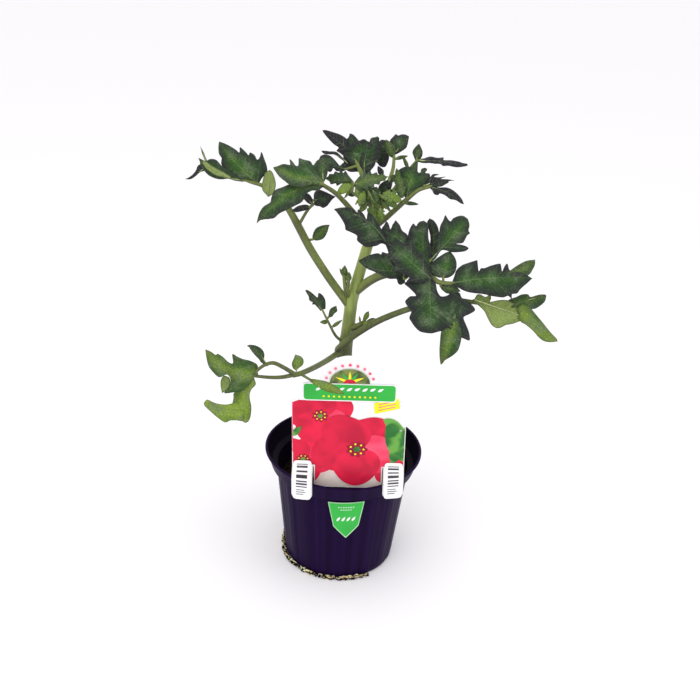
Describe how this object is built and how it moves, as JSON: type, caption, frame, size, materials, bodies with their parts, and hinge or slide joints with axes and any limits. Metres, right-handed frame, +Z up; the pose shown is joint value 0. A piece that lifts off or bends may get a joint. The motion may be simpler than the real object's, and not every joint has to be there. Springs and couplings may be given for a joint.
{
  "type": "potted tomato plant",
  "caption": "Young tomato plant with cut, lobed leaves in a thin fluted plastic nursery pot, a printed label card hooked over the rim.",
  "frame": {"origin": "middle of the pot's underside, on the surface it stands on", "axes": "+Z up the stem, the label card faces -Y, +X to the right seen from the label's side"},
  "size_m": [0.2162, 0.1229, 0.275],
  "materials": {
    "pot_plastic": "thin dark aubergine plastic, satin sheen, fine vertical texture on the collar",
    "soil": "dark crumbly peat",
    "card": "white plastic card printed in colour, slight gloss",
    "shield": "green printed sticker with a thin pale edge",
    "root": "pale straw root strands with dark crumbs",
    "stem": "olive green stem, finely hairy",
    "leaf": "dark bluish green above with pale veins, paler below, finely hairy"
  },
  "bodies": {
    "root": {"pot": "pot_plastic", "soil": "soil", "main_stem": "stem", "foot_roots": "root", "label_card": "card", "shield_sticker": "shield", "leaf_low_left": "leaf", "leaf_low_right": "leaf", "leaf_mid_right": "leaf", "leaf_upper_left": "leaf", "leaf_front_left": "leaf", "leaf_right_upper": "leaf", "leaf_top_left": "leaf", "leaf_top": "leaf", "leaf_top_right": "leaf", "shoot_tip": "leaf", "axil_shoot_left": "leaf", "axil_shoots_mid": "leaf", "axil_bud_right": "leaf"}
  },
  "joints": []
}
